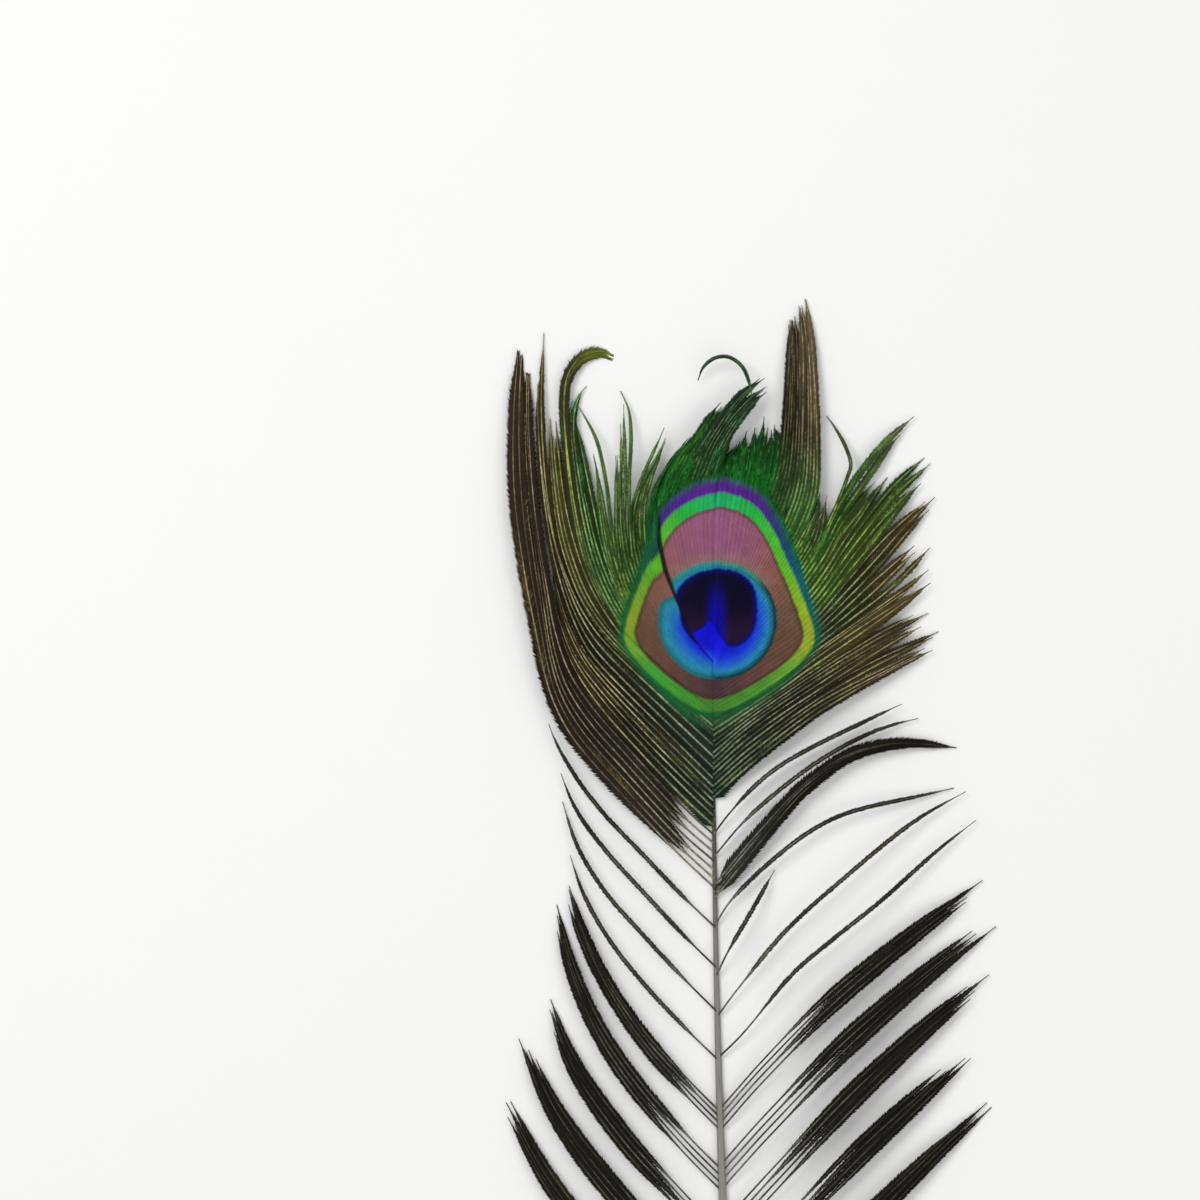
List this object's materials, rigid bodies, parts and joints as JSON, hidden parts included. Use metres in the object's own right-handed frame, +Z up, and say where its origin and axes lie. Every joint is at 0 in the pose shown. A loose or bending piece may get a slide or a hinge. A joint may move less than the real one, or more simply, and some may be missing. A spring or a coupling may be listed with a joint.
{
  "type": "peacock feather",
  "caption": "Single peacock eye feather lying flat: bowed shaft, vanes of the blue, bronze and green eye, fringe locks and long loose barbs, for display.",
  "frame": {"origin": "centre of the bottom of the bounding box, on the surface the feather lies on", "axes": "+Y along the shaft from its cut end towards the feather's tip, +Z up out of the bright face"},
  "size_m": [0.1004, 0.2398, 0.0055],
  "materials": {
    "shaft": "smooth horn, satin",
    "eye": "iridescent barbules, silky",
    "fringe": "iridescent green barbules, silky",
    "barbs": "dark bronze barbules, soft"
  },
  "bodies": {
    "root": {"shaft": "shaft", "eye_vane_right": "eye", "eye_vane_left_upper": "eye", "eye_vane_left_lower": "eye", "fringe_right_1": "fringe", "fringe_right_2": "fringe", "fringe_right_3": "fringe", "fringe_right_4": "fringe", "tall_lock_right": "fringe", "fringe_right_5": "fringe", "vertical_lock_outer": "fringe", "vertical_lock_inner": "fringe", "fringe_top_right_1": "fringe", "fringe_top_right_2": "fringe", "curled_lock": "fringe", "fringe_left_1": "fringe", "fringe_left_2": "fringe", "fringe_left_3": "fringe", "fringe_left_4": "fringe", "fringe_left_5": "fringe", "fringe_left_6": "fringe", "top_lock_1": "fringe", "top_lock_2": "fringe", "top_lock_3": "fringe", "loose_lock_right_1": "barbs", "loose_lock_right_2": "barbs", "loose_lock_right_3": "barbs", "thick_lock_right": "barbs", "sweep_lock_1": "barbs", "sweep_lock_2": "barbs", "sweep_lock_3": "barbs", "sweep_lock_4": "barbs", "sweep_lock_5": "barbs", "sweep_lock_6": "barbs", "sweep_lock_7": "barbs", "lower_lock_right_1": "barbs", "lower_lock_right_2": "barbs", "lower_lock_right_3": "barbs", "lower_lock_right_4": "barbs", "lower_lock_right_5": "barbs", "lower_lock_left_1": "barbs", "lower_lock_left_2": "barbs", "lower_lock_left_3": "barbs", "lower_lock_left_4": "barbs", "lower_lock_left_5": "barbs", "long_barb_right_1": "barbs", "long_barb_right_2": "barbs", "long_barb_right_3": "barbs", "short_barb_right": "barbs", "long_barb_right_4": "barbs", "long_barb_right_5": "barbs", "long_barb_left_1": "barbs", "long_barb_left_2": "barbs", "long_barb_left_3": "barbs", "long_barb_left_4": "barbs", "stray_barb_left_1": "fringe", "stray_barb_left_2": "fringe", "hooked_barb_right": "fringe", "curled_barb_top": "barbs"}
  },
  "joints": []
}
